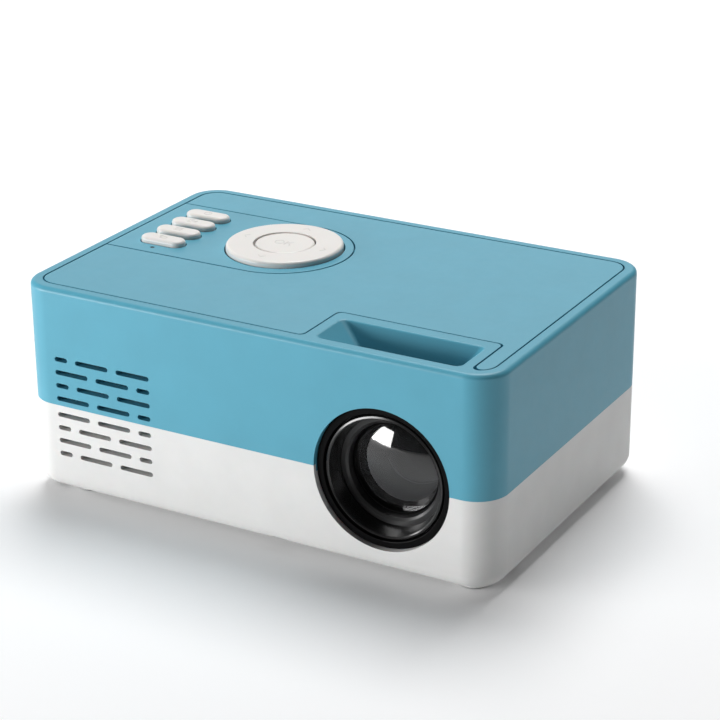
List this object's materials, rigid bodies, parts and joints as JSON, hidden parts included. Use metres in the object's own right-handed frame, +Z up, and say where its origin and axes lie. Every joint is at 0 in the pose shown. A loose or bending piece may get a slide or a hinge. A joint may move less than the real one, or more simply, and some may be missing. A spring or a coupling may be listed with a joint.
{
  "type": "home projector",
  "caption": "Small box-shaped LED home projector with two-tone moulded shells, a focusing lens, top keys with a direction ring, vent slots and rear sockets.",
  "frame": {"origin": "on the table under the middle of the case", "axes": "+X to the right seen from the front and along the case's width, +Y to the back, +Z up; the lens looks along -Y"},
  "size_m": [0.128, 0.084, 0.0561],
  "materials": {
    "white_case": "fine satin",
    "blue_case": "fine satin",
    "blue_plate": "fine satin",
    "key_plastic": "satin",
    "pad_rubber": "matt",
    "brass": "turned",
    "black_screw": "black oxide",
    "inner_plastic": "matt",
    "hood_plastic": "gloss",
    "lens_glass": "coated",
    "spacer_metal": "turned",
    "mirror_glass": "polished",
    "fresnel_plastic": "fine ribbed",
    "panel_glass": "gloss",
    "funnel_plastic": "white gloss",
    "lamp_board": "white solder mask",
    "sink_metal": "extruded",
    "board_green": "solder mask",
    "socket_steel": "pressed",
    "socket_plastic": "moulded",
    "capacitor_sleeve": "sleeve",
    "header_plastic": "moulded",
    "eye_plastic": "dark red gloss",
    "light_plastic": "clear",
    "mesh_plastic": "woven",
    "cone_paper": "pressed paper",
    "ribbon_film": "amber film",
    "lead_sleeve": "soft sleeve"
  },
  "bodies": {
    "case": {"audio_jack": "socket_plastic", "board_screws": "black_screw", "bottom_shell": "white_case", "capacitors": "capacitor_sleeve", "case_screws": "black_screw", "collimating_fresnel": "fresnel_plastic", "condenser_lens": "lens_glass", "control_panel": "blue_plate", "dust_mesh": "mesh_plastic", "fan_frame": "inner_plastic", "fan_lead": "lead_sleeve", "fan_screws": "black_screw", "field_fresnel": "fresnel_plastic", "foot_pad_front_left": "pad_rubber", "foot_pad_front_right": "pad_rubber", "foot_pad_rear_left": "pad_rubber", "foot_pad_rear_right": "pad_rubber", "hdmi_socket": "socket_steel", "heat_sink": "sink_metal", "holder_screws": "black_screw", "housing_cover": "inner_plastic", "infrared_receiver": "eye_plastic", "lamp_lead": "lead_sleeve", "lcd_panel": "panel_glass", "lcd_ribbon": "ribbon_film", "lead_headers": "header_plastic", "led_board": "lamp_board", "lens_bezel": "hood_plastic", "lens_holder": "inner_plastic", "light_funnel": "funnel_plastic", "light_pipe": "light_plastic", "main_board": "board_green", "mirror": "mirror_glass", "optical_housing": "inner_plastic", "power_inlet": "socket_plastic", "power_light": "light_plastic", "ribbon_socket": "socket_plastic", "speaker_basket": "inner_plastic", "speaker_cone": "cone_paper", "speaker_lead": "lead_sleeve", "tact_switches": "socket_plastic", "top_plate": "blue_plate", "top_shell": "blue_case", "tripod_insert": "brass", "usb_socket": "socket_steel", "video_chip": "socket_plastic"},
    "power_key": {"power_key": "key_plastic"},
    "source_key": {"source_key": "key_plastic"},
    "menu_key": {"menu_key": "key_plastic"},
    "return_key": {"return_key": "key_plastic"},
    "rocker_frame": {"rocker_frame": "inner_plastic"},
    "direction_ring": {"direction_ring": "key_plastic"},
    "ok_button": {"ok_button": "key_plastic"},
    "focus_ring": {"focus_ring": "inner_plastic"},
    "lens_barrel": {"lens_barrel": "hood_plastic", "lens_retainer": "hood_plastic", "front_lens": "lens_glass", "lens_spacer": "spacer_metal", "rear_lens": "lens_glass"},
    "fan_rotor": {"fan_rotor": "inner_plastic"}
  },
  "joints": [
    {"name": "power_key_press", "type": "slide", "parent": "case", "child": "power_key", "axis": [0, 0, -1], "range_m": [0, 0.0005], "stiffness_N_per_m": 400},
    {"name": "source_key_press", "type": "slide", "parent": "case", "child": "source_key", "axis": [0, 0, -1], "range_m": [0, 0.0005], "stiffness_N_per_m": 400},
    {"name": "menu_key_press", "type": "slide", "parent": "case", "child": "menu_key", "axis": [0, 0, -1], "range_m": [0, 0.0005], "stiffness_N_per_m": 400},
    {"name": "return_key_press", "type": "slide", "parent": "case", "child": "return_key", "axis": [0, 0, -1], "range_m": [0, 0.0005], "stiffness_N_per_m": 400},
    {"name": "ok_button_press", "type": "slide", "parent": "case", "child": "ok_button", "axis": [0, 0, -1], "range_m": [0, 0.0005], "stiffness_N_per_m": 400},
    {"name": "direction_tilt_front_back", "type": "hinge", "parent": "case", "child": "rocker_frame", "pos_m": [-0.01965, 0.00915, 0.0509], "axis": [1, 0, 0], "range_deg": [-1.6, 1.6], "stiffness_Nm_per_rad": 0.3},
    {"name": "direction_tilt_left_right", "type": "hinge", "parent": "rocker_frame", "child": "direction_ring", "pos_m": [-0.01965, 0.00915, 0.0509], "axis": [0, 1, 0], "range_deg": [-1.6, 1.6], "stiffness_Nm_per_rad": 0.3},
    {"name": "focus_turn", "type": "hinge", "parent": "case", "child": "focus_ring", "pos_m": [0.0358, -0.0334, 0.0244], "axis": [0, 1, 0], "range_deg": [-15, 35]},
    {"name": "lens_travel", "type": "slide", "parent": "case", "child": "lens_barrel", "axis": [0, 1, 0], "range_m": [-0.0012, 0.0028]},
    {"name": "fan_spin", "type": "hinge", "parent": "case", "child": "fan_rotor", "pos_m": [-0.0404, -0.0264, 0.0244], "axis": [0, 1, 0], "continuous": true}
  ],
  "couplings": [
    {"joint": "focus_turn", "follows": "lens_travel", "rad_per_m": 200}
  ]
}
